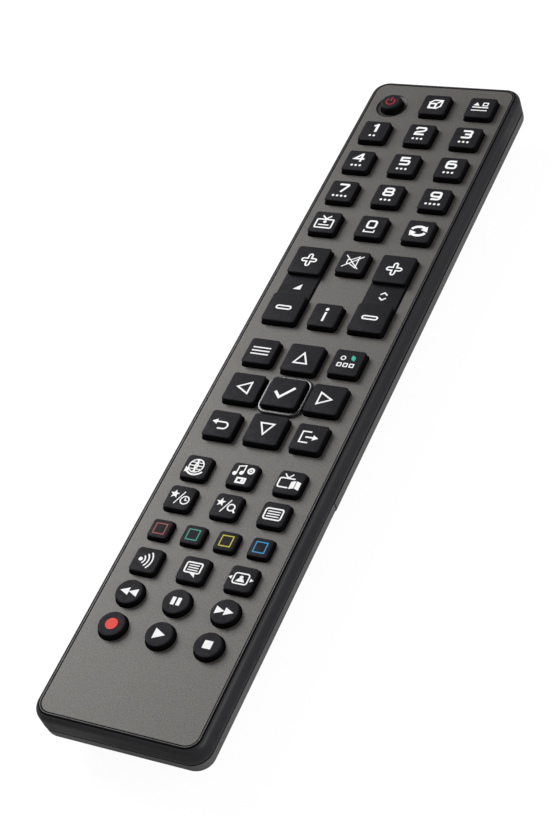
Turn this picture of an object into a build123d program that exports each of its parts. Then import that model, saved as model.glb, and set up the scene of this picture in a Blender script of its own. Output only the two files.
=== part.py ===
from build123d import *
import os
from collections import namedtuple
from math import radians, sqrt, tan

os.makedirs("parts", exist_ok=True)

# A long hand-held remote control, in millimetres. +X is to the right of the keys,
# +Y towards the end with the power key, +Z out of the keys. The origin is under the
# middle of the underside.

# Body, seen from above. Its length is the sum of the rows of keys, further down
body_width = 45.8
corner_radius = 4.9
rim_width = 1.9            # from the outside of the body to the edge of the faceplate
shoulder_radius = 2.0      # rounded upper edge of the rim
shell_wall = 1.6
parting_height = 10.4      # middle of the dark joint line between the two halves
parting_gap = 0.4

# Lower body: a vertical band, then a slope that runs in to the flat underside
slope_drop = 3.2           # from the joint line down to where the slope would start
slope_angle = 46.0         # of the slope, from the vertical
slope_radius = 3.0         # rounding between the band and the slope
belly_radius = 1.2         # rounding between the slope and the underside
least_corner = 0.1         # radius at which a rounded corner gives way to a sharp one
floor_thickness = 1.2

# What is stacked from the floor up to the lip of the rim
cell_diameter = 10.5
cell_floor_gap = 0.2
cell_roof_gap = 0.1
bay_roof_thickness = 0.5
board_thickness = 0.8
web_thickness = 0.8
deck_thickness = 1.0
plate_thickness = 0.7
lip_height = 0.1           # the rim stands this much above the faceplate

cell_axis_z = floor_thickness + cell_floor_gap + cell_diameter / 2
bay_roof_z = cell_axis_z + cell_diameter / 2 + cell_roof_gap
board_z = bay_roof_z + bay_roof_thickness
web_z = board_z + board_thickness
deck_z = web_z + web_thickness
plate_z = deck_z + deck_thickness
plate_top_z = plate_z + plate_thickness
lip_z = plate_top_z + lip_height
lower_top_z = parting_height - parting_gap / 2
upper_bottom_z = parting_height + parting_gap / 2

# Faceplate
plate_gap = 0.25           # dark line between the faceplate and the rim
plate_corner_radius = 3.0
dish_diameter = 9.4        # round hollow round the power key
dish_depth = 0.4

# Keys: plungers of silicone rubber that stand out of the faceplate
key_gap = 0.25             # between a key and the faceplate
guide_gap = 0.3            # between a key and its slot or opening in the deck
web_gap = 0.5              # between a key and its slot or opening in the web
key_travel = 0.8
travel_rest = 0.05         # left under a key that is pressed right down
key_bottom_z = web_z + key_travel + travel_rest

KeyStyle = namedtuple("KeyStyle", "width length corner height edge")
number_style = KeyStyle(8.25, 8.25, 1.2, 1.75, 0.4)
power_style = KeyStyle(6.6, 6.6, 3.3, 1.9, 0.7)
menu_style = KeyStyle(8.6, 8.7, 1.2, 1.75, 0.4)
side_arrow_style = KeyStyle(9.7, 9.6, 1.2, 1.75, 0.4)
up_arrow_style = KeyStyle(10.0, 9.6, 1.2, 1.75, 0.4)
ok_style = KeyStyle(10.0, 9.8, 1.6, 2.0, 0.5)
small_style = KeyStyle(7.4, 7.4, 1.5, 1.45, 0.5)
colour_style = KeyStyle(5.8, 5.8, 1.2, 1.3, 0.4)
round_style = KeyStyle(7.3, 7.3, 3.65, 1.5, 0.35)

# Rows of keys, stepped off from the head end to the foot end
head_margin = 10.9         # from the head end to the first row
number_pitch_y = 12.42
rocker_drop = 23.32        # from the last number row to the middle of the rockers
pad_drop = 37.1            # from there to the middle of the pad
function_drop = 26.65      # from there to the first row of function keys
function_pitch_y = 9.82
media_drop = 9.56          # from the colour keys to the next row
media_pitch_y = 9.48
foot_margin = 26.99        # from the last row to the foot end

# Keys across and off their rows
number_pitch_x = 14.0
power_x = -13.8
power_rise = 0.1           # of the power key, above the first row
rocker_x = 12.6            # of each rocker, left and right of the middle
rocker_key_y = 9.775       # of the keys between the rockers, from the rockers' middle
pad_corner_x = 12.4
pad_corner_y = 12.55
side_arrow_x = 11.7
end_arrow_y = 12.05
lower_pitch_x = 13.1
colour_pitch_x = 9.27

# Rockers: two square pads on one low bridge, which tilts about its middle
rocker_style = KeyStyle(10.1, 27.8, 1.2, 1.75, 0.4)
rocker_pad_length = 10.1
rocker_bridge_height = 0.45
fulcrum_rise = 1.6         # from the circuit board to the axis that a rocker tilts about
fulcrum_gap = 0.1          # between the board and the round rib under the rocker
fulcrum_length = 7.0

# Polished ring round the OK key
ring_style = KeyStyle(12.6, 12.6, 3.2, 0.8, 0.3)
ring_fit = 0.1

# Battery door: the whole lower body from the seam to the foot end
door_length = 76.5
seam_gap = 0.25
door_step = 0.15           # the door lies this much inside the rest of the lower body
slide_gap = 0.3
tray_wall = 2.0
tray_bottom_z = 2.6
rail_depth = 0.8
rail_height = 0.6
rail_drop = 1.4            # from the joint line down to the middle of the rail
groove_depth = 0.75        # in the tray, for the rail
groove_height = 1.1
rail_end = 8.0             # the rail stops this far before the foot end
hook_reach = 4.0           # the rail runs on this far past the door's front edge
hook_gap = 0.5
grip_width = 14.0
grip_pitch = 1.8
grip_ribs = 5
grip_depth = 0.4
grip_inset = 5.0

# Battery bay and its two AAA cells
cell_length = 44.5
nub_length = 0.9
nub_diameter = 3.8
cell_gap = 0.4             # between the two cells
bay_side_gap = 0.3
bay_wall = 1.2
bay_setback = 4.0          # from the seam to the bay
spring_space = 4.0
contact_thickness = 0.4
contact_width = 7.6
contact_height = 8.0
leaf_width = 5.0
leaf_height = 7.0
leaf_crest = 2.4           # flat stretch that bears on the cell
leaf_thickness = 0.3
divider_thickness = 0.3
divider_drop = 2.0
cell_end_gap = 0.05
leaf_gap = 0.05
tab_width = 2.0            # of the tab that joins a contact to the board
tab_gap = 0.3

# Circuit board, its controller and the infra-red lamp
board_seat = 1.0           # width of the ledge under the edge of the board
board_margin = 1.5         # beyond the outermost keys
chip_width = 7.5
chip_length = 12.8
chip_thickness = 2.2
chip_lead_pitch = 1.9
chip_leads = 6
chip_lead_reach = 1.3
chip_lead_width = 0.5
lamp_diameter = 3.0
lamp_length = 5.2
lamp_gap = 0.2             # between the lamp and the board
lamp_tip_gap = 1.9         # between the window and the tip of the lamp
lamp_leg = 0.5
lamp_leg_spread = 1.27

# Infra-red window, trapped between the two halves at the head end
window_width = 15.0
window_below = 1.8
window_above = 2.8
window_flange = 1.0
window_flange_thickness = 0.8
window_gap = 0.1

# Stiffening ribs under the head end of the board
rib_thickness = 1.0
rib_setback = 22.9         # from the seam to the first rib
rib_pitch = 32.0
rib_count = 4
bulkhead_thickness = 1.6
ledge_height = 1.6         # under the joint line, where the tongue joins the shell

# Rows of keys and what follows from them
number_rows = [
    ("key_1", "key_2", "key_3"),
    ("key_4", "key_5", "key_6"),
    ("key_7", "key_8", "key_9"),
    ("key_television", "key_0", "key_swap"),
]
function_rows = [
    (("key_globe", "key_media", "key_guide"), lower_pitch_x, small_style),
    (("key_timer", "key_find", "key_text"), lower_pitch_x, small_style),
    (("key_red", "key_green", "key_yellow", "key_blue"), colour_pitch_x, colour_style),
]
media_rows = [
    (("key_language", "key_subtitle", "key_screen"), small_style),
    (("key_rewind", "key_pause", "key_forward"), round_style),
    (("key_record", "key_play", "key_stop"), round_style),
]
number_reach = len(number_rows) * number_pitch_y
function_reach = (len(function_rows) - 1) * function_pitch_y
media_reach = (len(media_rows) - 1) * media_pitch_y
body_length = (
    head_margin + number_reach + rocker_drop + pad_drop + function_drop + function_reach
    + media_drop + media_reach + foot_margin
)
head_y = body_length / 2
foot_y = -body_length / 2
number_top_y = head_y - head_margin
rocker_y = number_top_y - number_reach - rocker_drop
pad_y = rocker_y - pad_drop            # middle of the OK key
function_top_y = pad_y - function_drop
media_top_y = function_top_y - function_reach - media_drop
rocker_axis_z = web_z + fulcrum_rise
seam_y = foot_y + door_length
rib_first_y = seam_y + rib_setback
chip_y = rib_first_y + 1.5 * rib_pitch  # between the second rib and the third

# What follows from the walls
tray_inset = shell_wall + door_step + slide_gap
board_inset = tray_inset + tray_wall - board_seat
cell_x = (cell_diameter + cell_gap) / 2
bay_half_width = cell_x + cell_diameter / 2 + bay_side_gap
bay_length = cell_length + spring_space + 2 * contact_thickness
bay_head_y = seam_y - bay_setback
bay_foot_y = bay_head_y - bay_length
bay_middle_y = (bay_head_y + bay_foot_y) / 2
rail_z = parting_height - rail_drop
shell_inner_x = body_width / 2 - shell_wall
door_inner_x = shell_inner_x - door_step
groove_x = body_width / 2 - tray_inset - groove_depth


def outline(inset, mode=Mode.ADD):
    """Draw the body's outline, drawn in by inset all round, as is its corner radius."""
    width = body_width - 2 * inset
    corner = max(corner_radius - inset, least_corner)
    RectangleRounded(width, body_length - 2 * inset, corner, mode=mode)


def hull_form(inset, floor_z, top_z, rounded=False):
    """The lower body's form, drawn in by inset: a band on a slope that runs in to the floor.

    The slope keeps the same distance from the outer one all the way, so shells, the door
    and the tray under it lie parallel to each other. Its corners are cones down to where
    their radius runs out, and sharp below. Outer forms are rounded over and under it.
    """
    slope_z = parting_height - slope_drop + inset * tan(radians(slope_angle / 2))
    sharp_inset = max(corner_radius - least_corner, inset)
    sharp_z = slope_z - (sharp_inset - inset) / tan(radians(slope_angle))
    with BuildPart() as form:
        with BuildSketch(Plane.XY.offset(slope_z)) as band_foot:
            outline(inset)
        extrude(band_foot.sketch, amount=top_z - slope_z)
        extrude(band_foot.sketch, amount=sharp_z - slope_z, taper=slope_angle)
        with BuildSketch(Plane.XY.offset(sharp_z)):
            Rectangle(body_width - 2 * sharp_inset, body_length - 2 * sharp_inset)
        extrude(amount=floor_z - sharp_z, taper=slope_angle)
        if rounded:
            bend = form.edges().filter_by(lambda edge: abs(edge.center().Z - slope_z) < 0.001)
            fillet(bend, slope_radius)
            fillet(form.faces().sort_by(Axis.Z)[0].edges(), belly_radius)
    return form.part


def square_outline(width, length, corner, mode=Mode.ADD):
    """Draw a rectangle whose corners are cut flat, along the tangent of a corner radius."""
    leg = corner * (2 - sqrt(2))
    right = width / 2
    top = length / 2
    Polygon(
        (right, leg - top), (right, top - leg), (right - leg, top), (leg - right, top),
        (-right, top - leg), (-right, leg - top), (leg - right, -top), (right - leg, -top),
        mode=mode,
    )


def key_outline(style, margin=0.0, mode=Mode.ADD):
    """Draw a key's outline where the current location is, widened by margin."""
    if style.corner * 2 >= style.width:
        Circle(style.width / 2 + margin, mode=mode)
    else:
        width = style.width + 2 * margin
        square_outline(width, style.length + 2 * margin, style.corner + margin, mode)


def finish(piece, name):
    """Label a finished piece and write it."""
    piece.part.label = name
    export_step(piece.part, f"parts/{name}.step")
    print(f"{name}: {len(piece.part.solids())} solids, {piece.part.volume:.1f} mm3")


# Every plain key by name: its middle and its style
keys = {}


def key_row(names, pitch, y, style):
    """Place a row of keys at an even pitch about the middle of the body."""
    for column, name in enumerate(names):
        x = (column - (len(names) - 1) / 2) * pitch
        keys[name] = (x, y, style)


keys["key_power"] = (power_x, number_top_y + power_rise, power_style)
keys["key_depth"] = (0.0, number_top_y, number_style)
keys["key_source"] = (number_pitch_x, number_top_y, number_style)
for row, names in enumerate(number_rows, start=1):
    key_row(names, number_pitch_x, number_top_y - row * number_pitch_y, number_style)
keys["key_mute"] = (0.0, rocker_y + rocker_key_y, number_style)
keys["key_info"] = (0.0, rocker_y - rocker_key_y, number_style)

keys["key_menu"] = (-pad_corner_x, pad_y + pad_corner_y, menu_style)
keys["key_quick_menu"] = (pad_corner_x, pad_y + pad_corner_y, menu_style)
keys["key_back"] = (-pad_corner_x, pad_y - pad_corner_y, menu_style)
keys["key_exit"] = (pad_corner_x, pad_y - pad_corner_y, menu_style)
keys["key_up"] = (0.0, pad_y + end_arrow_y, up_arrow_style)
keys["key_down"] = (0.0, pad_y - end_arrow_y, up_arrow_style)
keys["key_left"] = (-side_arrow_x, pad_y, side_arrow_style)
keys["key_right"] = (side_arrow_x, pad_y, side_arrow_style)
keys["key_ok"] = (0.0, pad_y, ok_style)

for row, (names, pitch, style) in enumerate(function_rows):
    key_row(names, pitch, function_top_y - row * function_pitch_y, style)
for row, (names, style) in enumerate(media_rows):
    key_row(names, lower_pitch_x, media_top_y - row * media_pitch_y, style)

rockers = {"key_volume": -rocker_x, "key_programme": rocker_x}
lowest_key_y = min(y - style.length / 2 for x, y, style in keys.values())
highest_key_y = max(y + style.length / 2 for x, y, style in keys.values())
board_foot_y = lowest_key_y - board_margin
board_head_y = highest_key_y + board_margin
board_length = board_head_y - board_foot_y
board_middle_y = (board_head_y + board_foot_y) / 2
board_width = body_width - 2 * board_inset


full_rows = number_rows + [row[0] for row in function_rows + media_rows]
keys_in_rows = {name for names in full_rows for name in names}


def key_openings(margin):
    """Draw a slot for each full row of keys, and an opening for each other key and rocker."""
    for names in full_rows:
        first_x, y, style = keys[names[0]]
        last_x = keys[names[-1]][0]
        with Locations(((first_x + last_x) / 2, y)):
            Rectangle(last_x - first_x + style.width + 2 * margin, style.length + 2 * margin)
    for name, (x, y, style) in keys.items():
        if name not in keys_in_rows:
            with Locations((x, y)):
                Rectangle(style.width + 2 * margin, style.length + 2 * margin)
    for x in rockers.values():
        with Locations((x, rocker_y)):
            Rectangle(rocker_style.width + 2 * margin, rocker_style.length + 2 * margin)


# Upper housing: a rim with a rounded shoulder round a recessed deck, hollow below
with BuildPart() as upper_housing:
    with BuildSketch(Plane.XY.offset(upper_bottom_z)):
        outline(0)
    extrude(amount=lip_z - upper_bottom_z)
    fillet(upper_housing.faces().sort_by(Axis.Z)[-1].edges(), shoulder_radius)
    with BuildSketch(Plane.XY.offset(plate_z)):
        RectangleRounded(
            body_width - 2 * (rim_width - plate_gap),
            body_length - 2 * (rim_width - plate_gap),
            plate_corner_radius + plate_gap,
        )
    extrude(amount=lip_z - plate_z, mode=Mode.SUBTRACT)
    with BuildSketch(Plane.XY.offset(upper_bottom_z)):
        outline(shell_wall)
    extrude(amount=deck_z - upper_bottom_z, mode=Mode.SUBTRACT)
    with BuildSketch(Plane.XY.offset(deck_z)):
        key_openings(guide_gap)
    extrude(amount=deck_thickness, mode=Mode.SUBTRACT)
    with BuildSketch(Plane.XY.offset(upper_bottom_z)):
        with Locations((0, head_y - shell_wall)):
            Rectangle(window_width + 2 * window_gap, 4 * shell_wall)
    extrude(amount=parting_height + window_above + window_gap - upper_bottom_z, mode=Mode.SUBTRACT)
finish(upper_housing, "upper_housing")

# Faceplate: a thin metal plate with a hole for every key
with BuildPart() as faceplate:
    with BuildSketch(Plane.XY.offset(plate_z)):
        RectangleRounded(body_width - 2 * rim_width, body_length - 2 * rim_width, plate_corner_radius)
        for name, (x, y, style) in keys.items():
            with Locations((x, y)):
                if name == "key_ok":
                    key_outline(ring_style, ring_fit, Mode.SUBTRACT)
                else:
                    key_outline(style, key_gap, Mode.SUBTRACT)
        for x in rockers.values():
            with Locations((x, rocker_y)):
                key_outline(rocker_style, key_gap, Mode.SUBTRACT)
    extrude(amount=plate_thickness)
    with BuildSketch(Plane.XY.offset(plate_top_z)):
        with Locations(keys["key_power"][:2]):
            Circle(dish_diameter / 2)
    extrude(amount=-dish_depth, mode=Mode.SUBTRACT)
finish(faceplate, "faceplate")

# Plain keys: straight plungers with a bevelled top edge
for name, (x, y, style) in keys.items():
    with BuildPart() as key:
        with BuildSketch(Plane.XY.offset(key_bottom_z)):
            with Locations((x, y)):
                key_outline(style)
        extrude(amount=plate_top_z + style.height - key_bottom_z)
        chamfer(key.faces().sort_by(Axis.Z)[-1].edges(), style.edge)
    finish(key, name)

# Rockers: the pads at both ends stand up from the low bridge between them, and a
# round rib under the middle rests on the board and is what the rocker tilts about
for name, x in rockers.items():
    with BuildPart() as rocker:
        with BuildSketch(Plane.XY.offset(key_bottom_z)):
            with Locations((x, rocker_y)):
                key_outline(rocker_style)
        extrude(amount=plate_top_z + rocker_style.height - key_bottom_z)
        with BuildSketch(Plane.XY.offset(plate_top_z + rocker_bridge_height)):
            with Locations((x, rocker_y)):
                Rectangle(rocker_style.width, rocker_style.length - 2 * rocker_pad_length)
        extrude(amount=rocker_style.height, mode=Mode.SUBTRACT)
        chamfer(rocker.faces().group_by(Axis.Z)[-1].edges(), rocker_style.edge)
        with BuildSketch(Plane.YZ.offset(x - fulcrum_length / 2)):
            with Locations((rocker_y, rocker_axis_z)):
                Circle(fulcrum_rise - fulcrum_gap)
        extrude(amount=fulcrum_length)
    finish(rocker, name)

# Ring round the OK key: it stands on the deck in its own hole in the faceplate
with BuildPart() as ok_ring:
    with BuildSketch(Plane.XY.offset(plate_z)):
        with Locations((0, pad_y)):
            key_outline(ring_style)
            key_outline(ok_style, guide_gap, Mode.SUBTRACT)
    extrude(amount=plate_thickness + ring_style.height)
    chamfer(ok_ring.faces().sort_by(Axis.Z)[-1].outer_wire().edges(), ring_style.edge)
finish(ok_ring, "ok_ring")

# Keypad web: the silicone sheet between the keys, clamped between board and deck
with BuildPart() as keypad_web:
    with BuildSketch(Plane.XY.offset(web_z)):
        with Locations((0, board_middle_y)):
            Rectangle(board_width, board_length)
    extrude(amount=web_thickness)
    with BuildSketch(Plane.XY.offset(web_z)):
        key_openings(web_gap)
    extrude(amount=web_thickness, mode=Mode.SUBTRACT)
finish(keypad_web, "keypad_web")

# Circuit board
with BuildPart() as circuit_board:
    with BuildSketch(Plane.XY.offset(board_z)):
        with Locations((0, board_middle_y)):
            Rectangle(board_width, board_length)
    extrude(amount=board_thickness)
finish(circuit_board, "circuit_board")

# Controller: a flat package under the board with a row of leads on each side
with BuildPart() as controller_chip:
    with BuildSketch(Plane.XY.offset(board_z)):
        with Locations((0, chip_y)):
            Rectangle(chip_width, chip_length)
    extrude(amount=-chip_thickness)
    with BuildSketch(Plane.XY.offset(board_z)):
        with Locations((0, chip_y)):
            with GridLocations(chip_width + chip_lead_reach, chip_lead_pitch, 2, chip_leads):
                Rectangle(chip_lead_reach, chip_lead_width)
    extrude(amount=-chip_thickness / 2)
finish(controller_chip, "controller_chip")

# Infra-red lamp: a round lamp that lies along +Y, with two legs to the board
lamp_z = board_z - lamp_gap - lamp_diameter / 2
window_back_y = head_y - shell_wall - window_gap - window_flange_thickness
lamp_back_y = window_back_y - lamp_tip_gap - lamp_length
with BuildPart() as ir_lamp:
    with BuildSketch(Plane.XZ.offset(-lamp_back_y)):
        with Locations((0, lamp_z)):
            Circle(lamp_diameter / 2)
    extrude(amount=-lamp_length)
    with BuildSketch(Plane.XY.offset(board_z)):
        with Locations((0, lamp_back_y)):
            with GridLocations(2 * lamp_leg_spread, 1, 2, 1):
                Rectangle(lamp_leg, 2 * lamp_leg)
    extrude(amount=lamp_z - lamp_leg / 2 - board_z)
finish(ir_lamp, "ir_lamp")

# Infra-red window: flush outside, with a flange behind the walls of both halves
with BuildPart() as ir_window:
    window_middle_z = parting_height + (window_above - window_below) / 2
    window_height = window_above + window_below
    with BuildSketch(Plane.XZ.offset(-head_y)):
        with Locations((0, window_middle_z)):
            Rectangle(window_width, window_height)
    extrude(amount=shell_wall + window_gap)
    with BuildSketch(Plane.XZ.offset(-head_y + shell_wall + window_gap)):
        with Locations((0, window_middle_z)):
            Rectangle(window_width + 2 * window_flange, window_height)
    extrude(amount=window_flange_thickness)
finish(ir_window, "ir_window")

# Cross walls of the lower housing: the bulkhead at the seam and the ribs that carry
# the board, cut to fill the shell below the joint line and the tongue above it
tray_form = hull_form(tray_inset, floor_thickness, board_z)
with BuildPart() as cross_walls:
    add(hull_form(shell_wall / 2, floor_thickness / 2, lower_top_z))
    add(tray_form)
    with BuildSketch(Plane.XY):
        with Locations((0, seam_y)):
            Rectangle(body_width, bulkhead_thickness, align=(Align.CENTER, Align.MIN))
        for rib in range(rib_count):
            with Locations((0, rib_first_y + rib * rib_pitch)):
                Rectangle(body_width, rib_thickness)
    extrude(amount=board_z, mode=Mode.INTERSECT)

# Battery tray: a roofed tub that the door slides over, with the bay's walls in it
with BuildPart() as tray:
    add(tray_form)
    add(hull_form(tray_inset + tray_wall, floor_thickness, bay_roof_z), mode=Mode.SUBTRACT)
    with BuildSketch(Plane.XY):
        Rectangle(body_width, body_length)
    extrude(amount=tray_bottom_z, mode=Mode.SUBTRACT)
    with BuildSketch(Plane.XY.offset(tray_bottom_z)):
        with Locations((0, bay_middle_y)):
            Rectangle(2 * (bay_half_width + bay_wall), bay_length + 2 * bay_wall)
            Rectangle(2 * bay_half_width, bay_length, mode=Mode.SUBTRACT)
    extrude(amount=bay_roof_z - tray_bottom_z)
    with BuildSketch(Plane.XY.offset(bay_roof_z - divider_drop)):
        with Locations((0, bay_middle_y)):
            Rectangle(divider_thickness, bay_length - 2 * spring_space)
    extrude(amount=divider_drop)
    with BuildSketch(Plane.XY.offset(bay_roof_z)):
        with Locations((-cell_x, bay_head_y - tab_width / 2), (cell_x, bay_head_y - tab_width / 2)):
            Rectangle(tab_width + 2 * tab_gap, tab_width)
    extrude(amount=bay_roof_thickness, mode=Mode.SUBTRACT)
    with BuildSketch(Plane.XY):
        with Locations((0, seam_y)):
            Rectangle(body_width, body_length, align=(Align.CENTER, Align.MIN))
    extrude(amount=board_z, mode=Mode.SUBTRACT)

# Lower housing: the head half's shell with the ledge and tongue inside the joint
# line, its cross walls and the battery tray, with a groove along each side for the
# door's rails
with BuildPart() as lower_housing:
    add(hull_form(0, 0, lower_top_z, rounded=True))
    add(hull_form(shell_wall, floor_thickness, lower_top_z), mode=Mode.SUBTRACT)
    with BuildSketch(Plane.XY.offset(lower_top_z - ledge_height)):
        outline(shell_wall / 2)
        outline(tray_inset + tray_wall, mode=Mode.SUBTRACT)
    extrude(amount=ledge_height)
    with BuildSketch(Plane.XY.offset(lower_top_z)):
        outline(tray_inset)
        outline(tray_inset + tray_wall, mode=Mode.SUBTRACT)
    extrude(amount=board_z - lower_top_z)
    with BuildSketch(Plane.XY):
        with Locations((0, seam_y)):
            Rectangle(body_width, body_length, align=(Align.CENTER, Align.MAX))
    extrude(amount=board_z, mode=Mode.SUBTRACT)
    add(cross_walls.part)
    add(tray.part)
    groove_end_y = seam_y - seam_gap + hook_reach + hook_gap
    groove_width = shell_inner_x - groove_x
    with BuildSketch(Plane.XY.offset(rail_z - groove_height / 2)):
        for side in (-1, 1):
            with Locations((side * (groove_x + groove_width / 2), groove_end_y)):
                Rectangle(groove_width, body_length, align=(Align.CENTER, Align.MAX))
    extrude(amount=groove_height, mode=Mode.SUBTRACT)
    with BuildSketch(Plane.XY.offset(parting_height - window_below - window_gap)):
        with Locations((0, head_y - shell_wall)):
            Rectangle(window_width + 2 * window_gap, 4 * shell_wall)
            flange_width = window_width + 2 * (window_flange + window_gap)
            Rectangle(flange_width, 2 * tray_wall, align=(Align.CENTER, Align.MAX))
    extrude(amount=board_z, mode=Mode.SUBTRACT)
finish(lower_housing, "lower_housing")

# Battery door: the foot half's shell, with a rail inside each side that runs on as a
# hook into the other half, and grip grooves in the underside
with BuildPart() as battery_door:
    add(hull_form(door_step, 0, lower_top_z, rounded=True))
    add(hull_form(shell_wall + door_step, floor_thickness, lower_top_z), mode=Mode.SUBTRACT)
    with BuildSketch(Plane.XY):
        with Locations((0, seam_y - seam_gap)):
            Rectangle(body_width, body_length, align=(Align.CENTER, Align.MIN))
    extrude(amount=board_z, mode=Mode.SUBTRACT)
    rail_length = door_length - seam_gap - rail_end + hook_reach
    with BuildSketch(Plane.XY.offset(rail_z - rail_height / 2)):
        for side in (-1, 1):
            with Locations((side * (door_inner_x - rail_depth / 2), seam_y - seam_gap + hook_reach)):
                Rectangle(rail_depth, rail_length, align=(Align.CENTER, Align.MAX))
    extrude(amount=rail_height)
    with BuildSketch(Plane.XY):
        for groove in range(grip_ribs):
            with Locations((0, seam_y - grip_inset - groove * grip_pitch)):
                Rectangle(grip_width, grip_pitch / 2)
    extrude(amount=grip_depth, mode=Mode.SUBTRACT)
finish(battery_door, "battery_door")

# Two AAA cells, head to tail, each with its nub against a contact
with BuildPart() as cell:
    with BuildSketch(Plane.XZ):
        Circle(cell_diameter / 2)
    extrude(amount=nub_length - cell_length)
    with BuildSketch(Plane.XZ.offset(nub_length - cell_length)):
        Circle(nub_diameter / 2)
    extrude(amount=-nub_length)
head_nub_y = bay_head_y - contact_thickness - cell_end_gap
foot_nub_y = bay_foot_y + contact_thickness + cell_end_gap
with BuildPart() as battery_cells:
    with Locations(
        Location((-cell_x, head_nub_y - cell_length, cell_axis_z)),
        Location((cell_x, foot_nub_y + cell_length, cell_axis_z), (0, 0, 180)),
    ):
        add(cell.part)
finish(battery_cells, "battery_cells")

# Contact plates: one bridge at the foot end and two plates at the head end, which
# reach through the roof of the bay to the board
with BuildPart() as contact_plates:
    with BuildSketch(Plane.XY.offset(cell_axis_z - contact_height / 2)):
        with Locations((-cell_x, bay_head_y), (cell_x, bay_head_y)):
            Rectangle(contact_width, contact_thickness, align=(Align.CENTER, Align.MAX))
        with Locations((0, bay_foot_y)):
            Rectangle(
                2 * cell_x + contact_width, contact_thickness, align=(Align.CENTER, Align.MIN)
            )
    extrude(amount=contact_height)
    with BuildSketch(Plane.XY.offset(cell_axis_z)):
        with Locations((-cell_x, bay_head_y), (cell_x, bay_head_y)):
            Rectangle(tab_width, contact_thickness, align=(Align.CENTER, Align.MAX))
    extrude(amount=board_z - cell_axis_z)
finish(contact_plates, "contact_plates")

# Contact springs: a leaf bent twice, between the flat end of each cell and its plate
leaf_reach = spring_space - cell_end_gap - leaf_gap - leaf_thickness / 2
with BuildPart() as contact_springs:
    for x, base_y, towards in (
        (cell_x, bay_head_y - contact_thickness, -1),
        (-cell_x, bay_foot_y + contact_thickness, 1),
    ):
        crest_y = base_y + towards * leaf_reach
        leaf_foot_y = base_y + towards * (leaf_gap + leaf_thickness / 2)
        with BuildSketch(Plane.YZ.offset(x - leaf_width / 2)):
            with BuildLine():
                Polyline(
                    (leaf_foot_y, cell_axis_z + leaf_height / 2),
                    (crest_y, cell_axis_z + leaf_crest / 2),
                    (crest_y, cell_axis_z - leaf_crest / 2),
                    (leaf_foot_y, cell_axis_z - leaf_height / 2),
                )
            trace(line_width=leaf_thickness)
        extrude(amount=leaf_width)
finish(contact_springs, "contact_springs")
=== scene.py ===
"""A long hand-held television remote control: its rubber keys with their symbols, the
metallic faceplate, the moulded housings and a plain white studio."""

from math import pi, radians

import bmesh
import bpy
import numpy as np
from bpy.props import FloatProperty, FloatVectorProperty, PointerProperty
from bpy.types import Operator, Panel, PropertyGroup
from mathutils import Matrix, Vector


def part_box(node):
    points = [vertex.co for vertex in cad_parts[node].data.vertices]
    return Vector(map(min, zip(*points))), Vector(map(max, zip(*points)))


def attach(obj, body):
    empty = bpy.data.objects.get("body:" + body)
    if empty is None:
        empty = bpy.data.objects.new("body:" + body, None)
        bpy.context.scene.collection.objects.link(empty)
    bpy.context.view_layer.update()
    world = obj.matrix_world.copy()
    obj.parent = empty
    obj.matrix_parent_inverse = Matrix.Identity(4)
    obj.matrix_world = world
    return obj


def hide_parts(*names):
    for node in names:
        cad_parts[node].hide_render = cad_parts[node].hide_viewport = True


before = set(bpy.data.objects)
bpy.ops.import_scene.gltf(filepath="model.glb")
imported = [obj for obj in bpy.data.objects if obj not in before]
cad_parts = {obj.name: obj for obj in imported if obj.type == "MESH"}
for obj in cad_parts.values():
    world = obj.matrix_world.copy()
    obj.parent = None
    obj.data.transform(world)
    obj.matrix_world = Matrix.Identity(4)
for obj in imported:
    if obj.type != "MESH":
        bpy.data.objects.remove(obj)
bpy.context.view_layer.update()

bl_info = {
    "name": "Television remote control",
    "version": (1, 0, 0),
    "blender": (4, 5, 0),
    "location": "3D view > Sidebar > Remote",
    "description": "Builds the looks of a television remote control and a white studio round it",
    "category": "Object",
}

MM = 0.001


def key_nodes(names):
    """The nodes of keys, from their short names."""
    return ["key_" + name for name in names.split()]


NUMBER_KEYS = key_nodes("0 1 2 3 4 5 6 7 8 9")
LARGE_KEYS = NUMBER_KEYS + key_nodes(
    "depth source television swap mute info menu quick_menu back exit up down left right"
)
SMALL_KEYS = key_nodes("globe media guide timer find text language subtitle screen")
COLOUR_KEYS = key_nodes("red green yellow blue")
ROUND_KEYS = key_nodes("rewind pause forward record play stop")
ROCKERS = key_nodes("volume programme")

# Small sizes in metres
LAYER = 0.0000012       # how much lower each later shape of a symbol ends
CLEAR = 0.00002         # between a trim's face and the face that it lies on
TRIM_DEPTH = 0.0006     # of the joint line, the plate's line and the lip
GROOVE_DEPTH = 0.0007
LIP_RISE = 0.00005
BRIDGE_RISE = 0.00045   # of a rocker's bridge over the faceplate
BRIDGE_INSET = (0.00006, 0.0004)
BRIDGE_EDGE = 0.0002
BRIDGE_LEAN = 0.00002
RING_GAP = 0.0003       # between the ring and the middle key
RING_EDGE = 0.0003
RING_HOLE_CORNER = 0.0018
RING_FIT = 0.0001       # between the faceplate and the ring

# Relief of the plastics: scale of the noise, strength and depth
SATIN_GRAIN = (3000.0, 0.10, 0.00003)
COARSE_GRAIN = (2200.0, 0.35, 0.00005)
CHIP_GRAIN = (4000.0, 0.2, 0.00002)
LINE_GRAIN = (900.0, 0.2, 0.00003)
LIP_GRAIN = (3000.0, 0.1, 0.00002)
LINE_SHINE = 0.03

# Dots under a number, where they aren't three
DOTS = {"1": 2, "7": 4, "9": 4}

# The camera's right, up and back, and its place, whose height is over the faceplate
CAMERA_AXES = (
    (0.87984847, 0.39070329, -0.27058754),
    (-0.13473223, 0.75105154, 0.64635038),
    (0.45575641, -0.53223353, 0.71345187),
)
CAMERA_PLACE = (0.21525, -0.26678, 0.33642)
FLOOR_REACH = 2.0
WHITE = (1.0, 1.0, 1.0, 1.0)


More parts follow.
